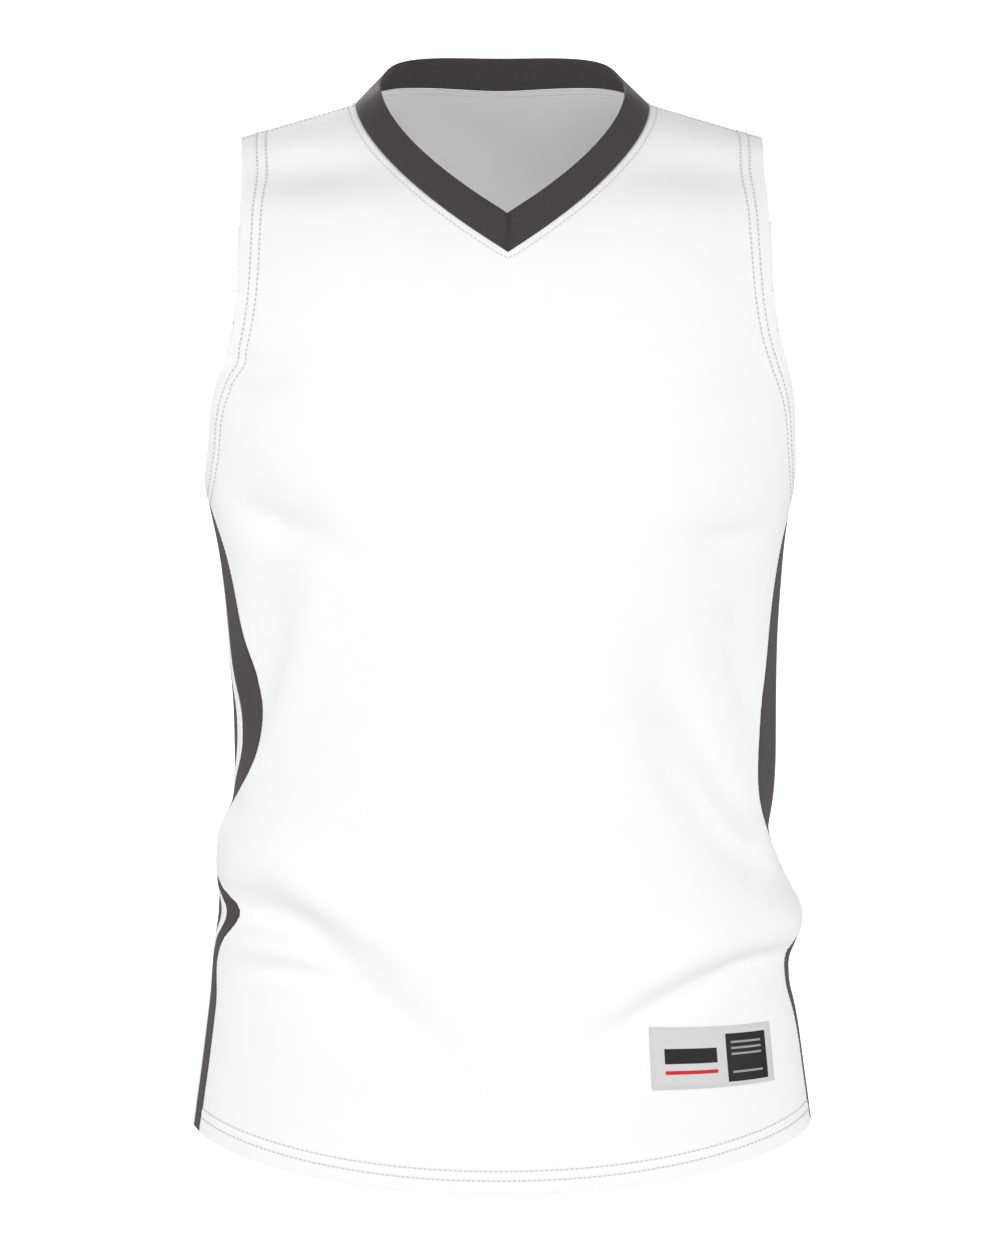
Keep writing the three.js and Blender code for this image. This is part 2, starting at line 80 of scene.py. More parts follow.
# Where a panel's border turns from one seam to the next: name, x and z in mm.
CORNERS = (
    ("neck", 100.6, 0),
    ("shoulder", 176.8, -22),
    ("underarm", 203, -258),
    ("hem", 212, -705),
)
NECK_POINT = (0, -98.6)
RUNS = {
    frozenset(("neck",)): "neck",
    frozenset(("neck", "shoulder")): "shoulder",
    frozenset(("shoulder", "underarm")): "armhole",
    frozenset(("underarm", "hem")): "side",
    frozenset(("hem",)): "hem",
}
HEMMED = ("armhole", "hem")

# Fine creases over the solids' main folds, in mm: the face (-1 front, 1 back), the crease's start,
# the point it bends towards and its end as x and z, how wide it is and how high. A trough is below
# nought.
CREASES = (
    (-1, -178, -46, -135, -44, -78, -42, 14, -3.3),
    (-1, 176, -44, 130, -42, 84, -38, 14, -1.8),
    (-1, -194, -170, -170, -172, -142, -186, 8, -3.8),
    (-1, -188, -184, -168, -190, -150, -204, 6, 1.3),
    (-1, 178, -176, 160, -181, 138, -194, 7, -1.4),
    (-1, -190, -262, -158, -284, -116, -288, 12, -5.0),
    (-1, -158, -302, -166, -370, -181, -428, 11, -3.4),
    (-1, 172, -285, 150, -293, 124, -286, 8, -3.6),
    (-1, 148, -334, 157, -374, 172, -416, 9, -3.8),
    (-1, 100, -400, 128, -476, 190, -536, 13, -6.6),
    (-1, 204, -580, 152, -572, 56, -626, 6, -3.9),
    (-1, 196, -592, 150, -598, 96, -622, 8, 1.2),
    (-1, -196, -544, -134, -546, -76, -602, 12, -6.2),
    (-1, -84, -602, -52, -636, -22, -678, 13, -1.8),
    (-1, -188, -594, -136, -566, -50, -628, 11, -6.4),
    (-1, -176, -640, -120, -628, -60, -652, 14, 0.9),
    (-1, -96, -50, -84, -66, -74, -92, 12, 1.0),
    (-1, 98, -50, 86, -68, 76, -96, 12, 1.0),
    (1, -176, -176, -150, -188, -118, -214, 9, -2.0),
    (1, 176, -172, 148, -186, 116, -206, 9, -1.8),
    (1, -120, -520, -60, -540, 10, -532, 10, -2.0),
    (1, 150, -560, 96, -560, 30, -584, 11, 1.8),
    (1, -150, -600, -80, -612, -20, -604, 13, -2.0),
    (1, 60, -640, 110, -630, 160, -646, 12, 1.3),
    (1, -170, -60, -120, -76, -60, -70, 14, -2.0),
    (1, 168, -58, 124, -74, 66, -72, 14, -1.7),
    (1, -164, -250, -132, -276, -100, -272, 12, -2.0),
    (1, 160, -256, 134, -282, 98, -280, 12, -2.2),
)
CREASE_STEPS = 24
CREASE_TAPER = 0.7
CREASE_FADE = 1.6

# A panel's border: a ring of narrow cells along it, and how far its cells are cut finer past the
# inner row of stitches.
BORDER_RING = 1.1 * MM
FINER_PAST = 4 * MM

# A sewn edge rolls down and closes the gap to what it is sewn to.
PANEL_DROP = 0.45 * MM
STRIP_DROP = 0.4 * MM
BAND_DROP = 0.5 * MM
SEAM_CLOSE = 0.2 * MM

# A turned hem stands out by its second layer, and its stitches pull it in.
HEM_LIFT = 0.42 * MM
HEM_STEP = 0.7 * MM
HEM_PULL = 0.34 * MM
HEM_PULL_REACH = 1.3 * MM
HEM_END = 6 * MM

# The groove of the neckband's mitre.
MITRE_DEPTH = 0.5 * MM
MITRE_REACH = 1.6 * MM

# The dents that rows of stitches leave in the knit.
HEM_DENT = 0.7 * MM
SEAM_DENT = 0.6 * MM


class ClothSizes(bpy.types.PropertyGroup):
    """Sizes of the cloth's edges, knit and stitching."""

    wall: FloatProperty(
        name="Cloth", description="Thickness of one layer of knit",
        default=1.2 * MM, unit="LENGTH")
    hem_wall: FloatProperty(
        name="Hem", description="Thickness of a turned hem",
        default=2.0 * MM, unit="LENGTH")
    band_wall: FloatProperty(
        name="Neckband", description="Thickness of the doubled rib band",
        default=2.0 * MM, unit="LENGTH")
    label_wall: FloatProperty(
        name="Label", description="Thickness of the satin label",
        default=0.45 * MM, unit="LENGTH")
    hem_low_row: FloatProperty(
        name="Outer hem row", description="From a hem's fold to its first row of stitches",
        default=10.5 * MM, unit="LENGTH")
    hem_high_row: FloatProperty(
        name="Inner hem row", description="From a hem's fold to its second row of stitches",
        default=17 * MM, unit="LENGTH")
    top_row: FloatProperty(
        name="Neck stitching", description="From the neck seam to its stitches",
        default=4.4 * MM, unit="LENGTH")
    shoulder_row: FloatProperty(
        name="Shoulder stitching", description="From a shoulder seam to its stitches",
        default=6.5 * MM, unit="LENGTH")
    side_row: FloatProperty(
        name="Side stitching", description="From a side seam to its stitches",
        default=0.8 * MM, unit="LENGTH")
    pitch: FloatProperty(
        name="Stitch pitch", description="From one stitch to the next",
        default=3.4 * MM, unit="LENGTH")
    stitch: FloatProperty(
        name="Stitch", description="Length of one stitch",
        default=2.1 * MM, unit="LENGTH")
    thread: FloatProperty(
        name="Thread", description="Thickness of the sewing thread",
        default=1.1 * MM, unit="LENGTH")
    wale: FloatProperty(
        name="Wale", description="Width of one column of knit loops",
        default=0.9 * MM, unit="LENGTH")
    course: FloatProperty(
        name="Course", description="Height of one row of knit loops",
        default=0.7 * MM, unit="LENGTH")
    rib: FloatProperty(
        name="Rib", description="Width of one rib of the neckband",
        default=1.3 * MM, unit="LENGTH")


def colour(name, description, value):
    return FloatVectorProperty(
        name=name, description=description, default=value, size=4, min=0, max=1, subtype="COLOR")


class ClothColours(bpy.types.PropertyGroup):
    """Colours of the cloth, thread and label."""

    white: colour("White", "Outside of the white knit", (0.93, 0.93, 0.93, 1))
    # The wrong side of the same white knit, a little darker than the outside as painted shade of
    # the inside of the body.
    inside: colour("Inside", "Wrong side of the white knit", (0.88, 0.88, 0.88, 1))
    dark: colour("Dark", "Side inserts", (0.062, 0.056, 0.058, 1))
    rib: colour("Rib", "Neckband", (0.053, 0.047, 0.049, 1))
    # The thread itself is white: its pale grey is painted shade of the stitches sunk in the knit.
    thread: colour("Thread", "Pale grey sewing thread", (0.62, 0.62, 0.62, 1))
    satin: colour("Satin", "Ground of the label", (0.66, 0.65, 0.66, 1))
    block: colour("Block", "Dark block and bar of the label", (0.006, 0.005, 0.005, 1))
    accent: colour("Accent", "Thin bar of the label", (0.6, 0.01, 0.02, 1))
    floor: colour("Floor", "Floor and backdrop", (0.94, 0.94, 0.94, 1))


class StageSizes(bpy.types.PropertyGroup):
    """Camera, lights and floor."""

    distance: FloatProperty(
        name="Distance", description="From the camera to the body's upright axis",
        default=2.4, unit="LENGTH")
    height: FloatProperty(
        name="Height", description="Height of the camera from the origin",
        default=-0.06, unit="LENGTH")
    turn: FloatProperty(
        name="Turn", description="How far the camera stands to the viewer's left",
        default=math.radians(2.2), unit="ROTATION")
    tilt: FloatProperty(
        name="Tilt", description="How far the camera looks down",
        default=math.radians(7.05), unit="ROTATION")
    floor: FloatProperty(
        name="Floor", description="Height of the floor from the origin",
        default=-1.25, unit="LENGTH")
    glow: FloatProperty(
        name="Glow", description="Light that the floor and backdrop give off",
        default=0.93, min=0)
    world: FloatProperty(
        name="World", description="Light from all round", default=0.435, min=0)
    key: FloatProperty(
        name="Key light", description="Light from the front", default=25, unit="POWER")
    fill: FloatProperty(
        name="Fill light", description="Light from the left", default=58, unit="POWER")
    side: FloatProperty(
        name="Side light", description="Light from the right", default=46, unit="POWER")
    rear: FloatProperty(
        name="Rear light", description="Light from behind", default=80, unit="POWER")


# Finding the outer sheet of a wall.


def is_rim(face, wall):
    """Whether a triangle is part of the wall's edge, as narrow as the wall is thick."""
    lengths = [edge.calc_length() for edge in face.edges]
    height = 2 * face.calc_area() / max(lengths)
    return max(height, min(lengths)) < wall * RIM_SLACK


def islands(bm, rim):
    """The faces in groups that the corners along the rim keep apart."""
    groups, seen = [], set()
    for first in bm.faces:
        if first in seen:
            continue
        seen.add(first)
        group = [first]
        for face in group:
            for edge in face.edges:
                turns = edge.calc_face_angle(0.0) > RIM_ANGLE
                if turns and not rim.isdisjoint(edge.link_faces):
                    continue
                for other in edge.link_faces:
                    if other not in seen:
                        seen.add(other)
                        group.append(other)
        groups.append(group)
    return groups


def area_of(faces):
    return sum(face.calc_area() for face in faces)


def facing_out(faces):
    """How much of the faces looks away from the body's upright axis."""
    total = 0.0
    for face in faces:
        middle = face.calc_center_median()
        total += face.calc_area() * face.normal.dot(Vector((middle.x, middle.y, 0)))
    return total


def diagonals(bm):
    """The edges that halve the sheet's four-sided cells.

    A vertex within the sheet has four other edges and one on its border three, and each triangle
    has one diagonal, so what is known along the border settles the rest cell by cell.
    """
    wanted = {}
    for vert in bm.verts:
        if not vert.is_boundary:
            wanted[vert] = len(vert.link_edges) - 4
            continue
        one, two = (e.other_vert(vert).co - vert.co for e in vert.link_edges if e.is_boundary)
        if one.angle(-two) < CORNER_ANGLE:
            wanted[vert] = len(vert.link_edges) - 3
    halves = {edge: False for edge in bm.edges if edge.is_boundary}
    working = True
    while working:
        before = len(halves)
        for face in bm.faces:
            unknown = [edge for edge in face.edges if edge not in halves]
            found = any(halves.get(edge) for edge in face.edges)
            if found or len(unknown) == 1:
                halves.update((edge, not found) for edge in unknown)
        for vert, count in wanted.items():
            unknown = [edge for edge in vert.link_edges if edge not in halves]
            left = count - sum(1 for edge in vert.link_edges if halves.get(edge))
            if left in (0, len(unknown)):
                halves.update((edge, left > 0) for edge in unknown)
        working = len(halves) > before
    return [edge for edge, half in halves.items() if half]


def outer_sheet(node, wall):
    """The outer side of a node's wall, as an open sheet of four-sided cells."""
    bm = bmesh.new()
    bm.from_mesh(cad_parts[node].data)
    bmesh.ops.remove_doubles(bm, verts=bm.verts, dist=MERGE)
    bm.normal_update()
    rim = {face for face in bm.faces if is_rim(face, wall)}
    sides = sorted(islands(bm, rim), key=area_of)[-2:]
    outer = set(max(sides, key=facing_out))
    rest = [face for face in bm.faces if face not in outer]
    bmesh.ops.delete(bm, geom=rest, context="FACES")
    bmesh.ops.dissolve_edges(bm, edges=diagonals(bm), use_verts=False)
    return bm


def new_object(bm, name):
    """A mesh object of that name, in the scene."""
    mesh = bpy.data.meshes.new(name)
    bm.to_mesh(mesh)
    made = bpy.data.objects.new(name, mesh)
    bpy.context.scene.collection.objects.link(made)
    return made


def kept_sharp(bm, places, mitred=False):
    """Keeps the border's turn sharp at these places, and the line down a mitred middle."""
    points = bm.verts.layers.float.new("crease_vert")
    lines = bm.edges.layers.float.new("crease_edge")
    border = [vert for vert in bm.verts if vert.is_boundary]
    for x, z in places:
        at = Vector((x, z)) * MM
        nearest = min(border, key=lambda vert: (vert.co.xz - at).length)
        nearest[points] = 1.0
    for edge in bm.edges:
        middle = all(abs(vert.co.x) < MERGE * 100 and vert.co.y < 0 for vert in edge.verts)
        if middle and mitred:
            edge[lines] = 1.0


def refined(bm, levels):
    """The same sheet with its cells cut finer on a smooth surface."""
    draft = new_object(bm, "draft")
    bm.free()
    smooth = draft.modifiers.new("Smooth", "SUBSURF")
    smooth.levels = smooth.render_levels = levels
    smooth.boundary_smooth = "PRESERVE_CORNERS"
    shown = draft.evaluated_get(bpy.context.evaluated_depsgraph_get())
    fine = bmesh.new()
    fine.from_mesh(shown.to_mesh())
    shown.to_mesh_clear()
    bpy.data.meshes.remove(draft.data)
    fine.normal_update()
    return fine


# Borders, rows and distances.


def border_rings(bm):
    """The sheet's open edges as rings of vertices in order."""
    rings, seen = [], set()
    for first in bm.verts:
        if first in seen or not first.is_boundary:
            continue
        seen.add(first)
        ring = [first]
        for vert in ring:
            open_edges = (edge for edge in vert.link_edges if edge.is_boundary)
            ahead = [v for edge in open_edges if (v := edge.other_vert(vert)) not in seen]
            if ahead:
                seen.add(ahead[0])
                ring.append(ahead[0])
        rings.append(ring)
    return rings


def panel_runs(bm):
    """A panel's border cut at its corners: {(seam, side): points}, side 0 across the middle."""
    ring = [vert.co.copy() for vert in max(border_rings(bm), key=len)]
    marks = {}
    for side in (-1, 1):
        for name, x, z in CORNERS:
            at = Vector((side * x, z)) * MM
            nearest = min(range(len(ring)), key=lambda i: (ring[i].xz - at).length)
            marks[nearest] = (name, side)
    order = sorted(marks)
    runs = {}
    for here, ahead in zip(order, order[1:] + [order[0] + len(ring)]):
        one, two = marks[here], marks[ahead % len(ring)]
        side = one[1] if one[1] == two[1] else 0
        points = [ring[i % len(ring)] for i in range(here, ahead + 1)]
        runs[RUNS[frozenset((one[0], two[0]))], side] = points
    return runs


def spaced(points, pitch):
    """Points at even steps along a line, each with the line's direction there."""
    lengths = [0.0]
    for one, two in zip(points, points[1:]):
        lengths.append(lengths[-1] + (two - one).length)
    count = max(2, round(lengths[-1] / pitch))
    places, at = [], 0
    for step in range(count):
        reach = lengths[-1] * (step + 0.5) / count
        while lengths[at + 1] < reach:
            at += 1
        span = points[at + 1] - points[at]
        share = (reach - lengths[at]) / (lengths[at + 1] - lengths[at])
        places.append((points[at] + span * share, span.normalized()))
    return places


def measured_from(runs):
    """A function that gives the distance from a point to the nearest of these runs."""
    places = [place for run in runs for place, _ in spaced(run, 1.5 * MM)]
    tree = KDTree(len(places))
    for index, place in enumerate(places):
        tree.insert(place, index)
    tree.balance()
    return lambda point: tree.find(point)[2]


def contours(bm, values, level):
    """Lines over a sheet where its vertices' values pass a level, each a list of points."""
    crossed = {}
    for edge in bm.edges:
        one, two = (values[vert.index] - level for vert in edge.verts)
        if one * two < 0:
            crossed[edge] = edge.verts[0].co.lerp(edge.verts[1].co, one / (one - two))
    ahead = {edge: [] for edge in crossed}
    for edge in crossed:
        for face in edge.link_faces:
            others = [other for other in face.edges if other != edge and other in crossed]
            ahead[edge] += others[:1]
    lines, seen = [], set()
    for first in sorted(crossed, key=lambda edge: len(ahead[edge])):
        if first in seen:
            continue
        seen.add(first)
        line = [first]
        for edge in line:
            following = [other for other in ahead[edge] if other not in seen][:1]
            seen.update(following)
            line += following
        lines.append([crossed[edge] for edge in line])
    return [line for line in lines if len(line) > 2]


# Shaping the sheets.


def round_body():
    """Angles round the mean section, and the length of cloth from its middle to each."""
    angles = np.linspace(0, math.pi, SECTION_STEPS)
    sine, cosine = np.abs(np.sin(angles)), np.abs(np.cos(angles))
    scale = (sine**SECTION_POWER + cosine**SECTION_POWER) ** (-1 / SECTION_POWER)
    x, y = BODY_HALF * scale * np.sin(angles), BODY_DEPTH * scale * np.cos(angles)
    steps = np.hypot(np.diff(x), np.diff(y))
    return angles, np.concatenate(([0], np.cumsum(steps)))


ANGLES, GIRTH = round_body()


def lay_knit(bm, face):
    """Lays the knit's columns and rows on a sheet of the body, measured from the face's middle."""
    layer = bm.loops.layers.uv.new("cloth")
    for loop in (loop for cell in bm.faces for loop in cell.loops):
        x, y, z = loop.vert.co
        angle = math.atan2(abs(x) / BODY_HALF, face * y / BODY_DEPTH)
        loop[layer].uv = math.copysign(np.interp(angle, ANGLES, GIRTH), x), z


def creased(bm):
    """Moves a sheet of the body along its normals by the fine creases, on the side each is on."""
    bm.normal_update()
    spots = np.array([vert.co.xz for vert in bm.verts]) / MM
    facing = np.array([vert.normal.y for vert in bm.verts])
    moves = np.zeros(len(spots))
    share = np.linspace(0, 1, CREASE_STEPS)
    for face, x1, z1, x2, z2, x3, z3, wide, high in CREASES:
        weights = (1 - share) ** 2, 2 * share * (1 - share), share**2
        line = np.stack(weights, axis=1) @ np.array(((x1, z1), (x2, z2), (x3, z3)), float)
        far = np.linalg.norm(spots[:, None] - line[None], axis=2)
        nearest = far.argmin(axis=1)
        taper = np.sin(np.pi * np.clip(share[nearest], 0.02, 0.98)) ** CREASE_TAPER
        height = high * taper * np.exp(-((far.min(axis=1) / wide) ** 2))
        moves += height * np.clip(face * facing * CREASE_FADE, 0, 1)
    for vert, move in zip(bm.verts, moves):
        vert.co += vert.normal * float(move) * MM


def seamed(bm, rings, drop, spread):
    """Rolls the sheet's border down and closes half the gap to what it is sewn to."""
    border = {vert: outward_of(vert) for ring in rings for vert in ring}
    for vert, outward in border.items():
        vert.co += outward * spread - vert.normal * drop


def outward_of(vert):
    """The direction out of the sheet, in its surface, at a vertex of its border."""
    open_edges = [edge for edge in vert.link_edges if edge.is_boundary]
    total = Vector()
    for edge in open_edges:
        middle = (edge.verts[0].co + edge.verts[1].co) / 2
        along = (edge.verts[1].co - edge.verts[0].co).normalized()
        away = middle - edge.link_faces[0].calc_center_median()
        total += (away - along * away.dot(along)).normalized()
    return total.normalized()


def stored(bm, name, values):
    """Keeps a number for each vertex, for a material to read."""
    layer = bm.verts.layers.float.new(name)
    for vert, value in zip(bm.verts, values):
        vert[layer] = value


def walled(bm, name, wall, rounding, finishes, thin=None):
    """A cloth piece of the sheet: its wall goes inwards and its edges are rounded."""
    made = new_object(bm, name)
    made.data.shade_smooth()
    for finish in finishes:
        made.data.materials.append(finish)
    solid = made.modifiers.new("Wall", "SOLIDIFY")
    solid.thickness = wall
    solid.offset = -1
    solid.use_even_offset = False
    solid.material_offset = len(finishes) - 1
    if thin is not None:
        group = made.vertex_groups.new(name="thickness")
        for index, share in enumerate(thin):
            group.add([index], share, "REPLACE")
        solid.vertex_group = group.name
    edge = made.modifiers.new("Edge", "BEVEL")
    edge.width = rounding
    edge.segments = 2
    edge.limit_method = "ANGLE"
    edge.angle_limit = RIM_ANGLE
    return made


def placed(made, node):
    """Hands a finished piece to the part: it rides on the body and stands for its solid."""
    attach(made, BODY)
    if node:
        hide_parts(node)
    return made


# Materials.


class Number:
    """A number that changes over a surface, so that sums on it can be written as sums."""

    def __init__(self, finish, socket):
        self.finish = finish
        self.socket = socket

    def math(self, operation, *values):
        return self.finish.node("ShaderNodeMath", {"operation": operation}, dict(enumerate(values)))

    def __add__(self, other):
        return self.math("ADD", self, other)

    def __sub__(self, other):
        return self.math("SUBTRACT", self, other)

    def __rsub__(self, other):
        return self.math("SUBTRACT", other, self)

    def __mul__(self, other):
        return self.math("MULTIPLY", self, other)

    def __truediv__(self, other):
        return self.math("DIVIDE", self, other)

    def __abs__(self):
        return self.math("ABSOLUTE", self)

    __radd__ = __add__
    __rmul__ = __mul__

    def wave(self, length):
        """A wave from -1 to 1 that repeats at that length."""
        return self.math("SINE", self * (math.tau / length))

    def fraction(self):
        return self.math("FRACT", self)

    def near(self, place, width):
        """1 at the place, falling softly to 0 over the width."""
        off = (self - place) / width
        return self.math("EXPONENT", off * off * -1)

    def within(self, low, high, soft):
        """1 between two places and 0 outside, with soft edges."""
        rise = self.finish.node(
            "ShaderNodeMapRange", {"interpolation_type": "SMOOTHSTEP"},
            {0: self, 1: low - soft, 2: low + soft})
        fall = self.finish.node(
            "ShaderNodeMapRange", {"interpolation_type": "SMOOTHSTEP"},
            {0: self, 1: high - soft, 2: high + soft})
        return rise - fall


class Finish:
    """A material and the few ways in which its nodes are added."""

    def __init__(self, name, **constants):
        self.material = bpy.data.materials.new(name)
        self.material.use_nodes = True
        self.tree = self.material.node_tree
        self.shader = self.tree.nodes["Principled BSDF"]
        for socket, value in constants.items():
            self.shader.inputs[socket.replace("_", " ")].default_value = value

    def node(self, kind, settings, inputs, output=0):
        made = self.tree.nodes.new(kind)
        for name, value in settings.items():
            setattr(made, name, value)
        for socket, value in inputs.items():
            self.feed(made.inputs[socket], value)
        return Number(self, made.outputs[output])

    def feed(self, socket, value):
        if isinstance(value, Number):
            self.tree.links.new(value.socket, socket)
        else:
            socket.default_value = value

    def set(self, **inputs):
        for socket, value in inputs.items():
            self.feed(self.shader.inputs[socket.replace("_", " ")], value)

    def cloth(self):
        """The two lengths along the cloth, in metres."""
        place = self.node("ShaderNodeUVMap", {"uv_map": "cloth"}, {})
        parts = [self.node("ShaderNodeSeparateXYZ", {}, {0: place}, output=i) for i in (0, 1)]
        return parts[0], parts[1], place

    def kept(self, name):
        """A number kept for each vertex."""
        return self.node("ShaderNodeAttribute", {"attribute_name": name}, {}, output=2)

    def noise(self, place, scale, detail=2.0):
        inputs = {"Vector": place, "Scale": scale, "Detail": detail}
        return self.node("ShaderNodeTexNoise", {}, inputs)

    def mixed(self, share, one, two):
        inputs = {0: share, 6: one, 7: two}
        return self.node("ShaderNodeMix", {"data_type": "RGBA"}, inputs, output=2)

    def bump(self, height):
        """Gives the surface that relief, in metres."""
        inputs = {"Strength": 1.0, "Distance": 1.0, "Height": height}
        self.set(Normal=self.node("ShaderNodeBump", {}, inputs))


def scaled(value, share):
    """A colour made darker by that share."""
    return tuple(channel * share for channel in value[:3]) + (1,)


def knit_relief(finish, sizes, across, down):
    """0 to 1 over the loops of a fine knit: columns of slanting stitches."""
    column = abs((across / sizes.wale).fraction() - 0.5) * 2
    slant = (down + column * (0.5 * sizes.course)).wave(sizes.course)
    return (1 - column * column) * (0.7 + 0.3 * slant)


def knit_finish(name, sizes, value, shade, row, sheen):
    """Fine knit with soft unevenness, the dents of its rows of stitches, and painted shade in those
    dents and between its loops.
    """
    finish = Finish(name, Sheen_Weight=sheen, Sheen_Roughness=0.5, Specular_IOR_Level=0.25)
    across, down, place = finish.cloth()
    loops = knit_relief(finish, sizes, across, down)
    uneven = finish.noise(place, 55, 3.0)
    broad = finish.noise(place, 9)
    dents = finish.kept("hem").near(sizes.hem_low_row, HEM_DENT)
    dents += finish.kept("hem").near(sizes.hem_high_row, HEM_DENT)
    dents += finish.kept("seam").near(row, SEAM_DENT)
    # Painted shade: darker in the dents along the rows of stitches and between the loops; the rest
    # is random unevenness of tone.
    painted_shade_and_tone = dents * shade + (1 - loops) * 0.05 + uneven * 0.03 + broad * 0.02
    finish.set(Base_Color=finish.mixed(painted_shade_and_tone, value, scaled(value, 0.45)))
    finish.set(Roughness=0.66 + 0.14 * uneven + 0.08 * loops)
    relief = loops * (0.05 * MM) + uneven * (0.05 * MM) - dents * (0.16 * MM)
    finish.bump(relief)
    return finish.material


def rib_finish(name, sizes, value):
    """Rib knit whose ribs run across the band, with painted shade between its ribs and loops."""
    finish = Finish(name, Sheen_Weight=0.12, Sheen_Roughness=0.45, Specular_IOR_Level=0.3)
    along, across, place = finish.cloth()
    ribs = 0.5 + 0.5 * along.wave(sizes.rib)
    loops = 0.5 + 0.5 * across.wave(sizes.course)
    uneven = finish.noise(place, 60, 3.0)
    mitre = finish.kept("mitre").near(0, 0.5 * MM)
    # Painted shade between the ribs and between the loops, a darker line along the mitre, and
    # random unevenness of tone.
    painted_shade_and_tone = (1 - ribs) * 0.12 + (1 - loops) * 0.05 + uneven * 0.08 + mitre * 0.35
    finish.set(Base_Color=finish.mixed(painted_shade_and_tone, value, scaled(value, 0.3)))
    finish.set(Roughness=0.68 + 0.14 * uneven)
    relief = ribs * (0.09 * MM) + ribs * loops * (0.03 * MM) - mitre * (0.25 * MM)
    finish.bump(relief)
    return finish.material


def thread_finish(name, value):
    """Twisted polyester thread."""
    finish = Finish(name, Sheen_Weight=0.1, Specular_IOR_Level=0.4)
    place = finish.node("ShaderNodeTexCoord", {}, {}, output=3)
    twist = finish.noise(place, 2400)
    finish.set(Base_Color=finish.mixed(twist * 0.25, value, scaled(value, 0.6)))
    finish.set(Roughness=0.45 + 0.2 * twist)
    finish.bump(twist * (0.03 * MM))
    return finish.material


# The label's print, in mm from its lower left corner: left, right, low and high.
LABEL_BLOCK = (57.5, 88.5, 3.2, 35.8)
LABEL_BLOCK_BARS = (
    (61.5, 84.5, 29.2, 30.6),
    (61.5, 84.5, 25.2, 26.6),
    (61.5, 84.5, 21.2, 22.6),
    (61.5, 84.5, 9, 10.4),
)
LABEL_BAR = (10, 50, 17, 27)
LABEL_ACCENT = (10, 50, 10, 12.5)
PRINT_SOFT = 0.15 * MM


def satin_finish(name, colours):
    """Satin label: a plain ground, a dark block with pale bars, and two plain bars beside it."""
    finish = Finish(name, Specular_IOR_Level=0.25)
    across, up, place = finish.cloth()

    def printed(left, right, low, high):
        columns = across.within(left * MM, right * MM, PRINT_SOFT)
        return columns * up.within(low * MM, high * MM, PRINT_SOFT)

    warp = across.wave(0.36 * MM)
    weft = up.wave(0.5 * MM)
    uneven = finish.noise(place, 120, 3.0)
    block, bar, accent = printed(*LABEL_BLOCK), printed(*LABEL_BAR), printed(*LABEL_ACCENT)
    bars = sum(printed(*row) for row in LABEL_BLOCK_BARS)
    worn = uneven * 0.12 + warp * 0.03
    dyed = finish.mixed(worn, colours.satin[:], scaled(colours.satin, 0.7))
    dyed = finish.mixed(block, dyed, colours.block[:])
    dyed = finish.mixed(block * bars * 0.5, dyed, colours.satin[:])
    dyed = finish.mixed(bar, dyed, colours.block[:])
    dyed = finish.mixed(accent, dyed, colours.accent[:])
    finish.set(Base_Color=dyed)
    finish.set(Roughness=0.34 + 0.12 * uneven)
    raised = (block + bar + accent) * (0.03 * MM)
    finish.bump(warp * (0.012 * MM) + weft * (0.018 * MM) + raised)
    return finish.material


def floor_finish(name, value, glow):
    """Smooth pale floor with a faint unevenness, lit a little from within."""
    finish = Finish(name, Specular_IOR_Level=0.1, Emission_Strength=glow)
    place = finish.node("ShaderNodeTexCoord", {}, {}, output=3)
    cloud = finish.noise(place, 1.2)
    finish.set(Base_Color=finish.mixed(cloud * 0.03, value, scaled(value, 0.9)))
    finish.set(Emission_Color=(1, 1, 1, 1), Roughness=0.85 + 0.1 * cloud)
    return finish.material


# The materials' names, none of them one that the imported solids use.
FINISH_NAMES = {
    "white": "knit_outside",
    "inside": "knit_inside",
    "dark": "insert_knit",
    "rib": "ribbed_band",
    "thread": "sewing_thread",
    "satin": "woven_label",
}
# The knits: colour, how dark the painted shade in the dents under its stitches is, which row they
# lie in, and sheen.
KNITS = (
    ("white", 0.14, "top_row", 0.05),
    ("inside", 0.14, "top_row", 0.05),
    ("dark", 0.3, "side_row", 0.1),
)


def finishes():
    """The jersey's materials, made once."""
    names = FINISH_NAMES
    if names["white"] in bpy.data.materials:
        return {key: bpy.data.materials[name] for key, name in names.items()}
    sizes, colours = bpy.context.scene.jersey_sizes, bpy.context.scene.jersey_colours
    made = {
        key: knit_finish(
            names[key], sizes, getattr(colours, key)[:], shade, getattr(sizes, row), sheen)
        for key, shade, row, sheen in KNITS
    }
    made["rib"] = rib_finish(names["rib"], sizes, colours.rib[:])
    made["thread"] = thread_finish(names["thread"], colours.thread[:])
    made["satin"] = satin_finish(names["satin"], colours)
    return made


# The rows of stitches beside each run of a panel's border, by the names of their distances from it.
ROWS = {
    "hem": ("hem_low_row", "hem_high_row"),
    "armhole": ("hem_low_row", "hem_high_row"),
    "neck": ("top_row",),
    "shoulder": ("shoulder_row",),
    "side": ("side_row",),
}
# The rows found on the finished sheets: {(node, row): [(surface, line)]}.
SEWN = {}

# The body's two panels: node, the face's side, flat width and length of the cut and its area, in
# metres and square metres.
PANELS = (
    ("front", -1, 0.505, 0.745, 0.302),
    ("back", 1, 0.505, 0.775, 0.308),
)
# The strips of a side insert: part, material, slot, flat width, length and area, as above.
STRIPS = (
    ("front", "dark", "dark_knit", 0.06, 0.47, 0.0105),
    ("stripe", "white", "white_knit", 0.0105, 0.47, 0.0038),
    ("back", "dark", "dark_knit", 0.068, 0.47, 0.0208),
)


def hem_profile(far, sizes):
    """How far a hemmed edge stands out: two layers of cloth, pulled in along their stitches."""
    if far > sizes.hem_high_row + HEM_END:
        return 0.0
    rows = sizes.hem_low_row, sizes.hem_high_row
    fold = 1 / (1 + math.exp((far - sizes.hem_high_row) / HEM_STEP))
    pulls = sum(math.exp(-(((far - row) / HEM_PULL_REACH) ** 2)) for row in rows)
    return HEM_LIFT * fold - HEM_PULL * pulls


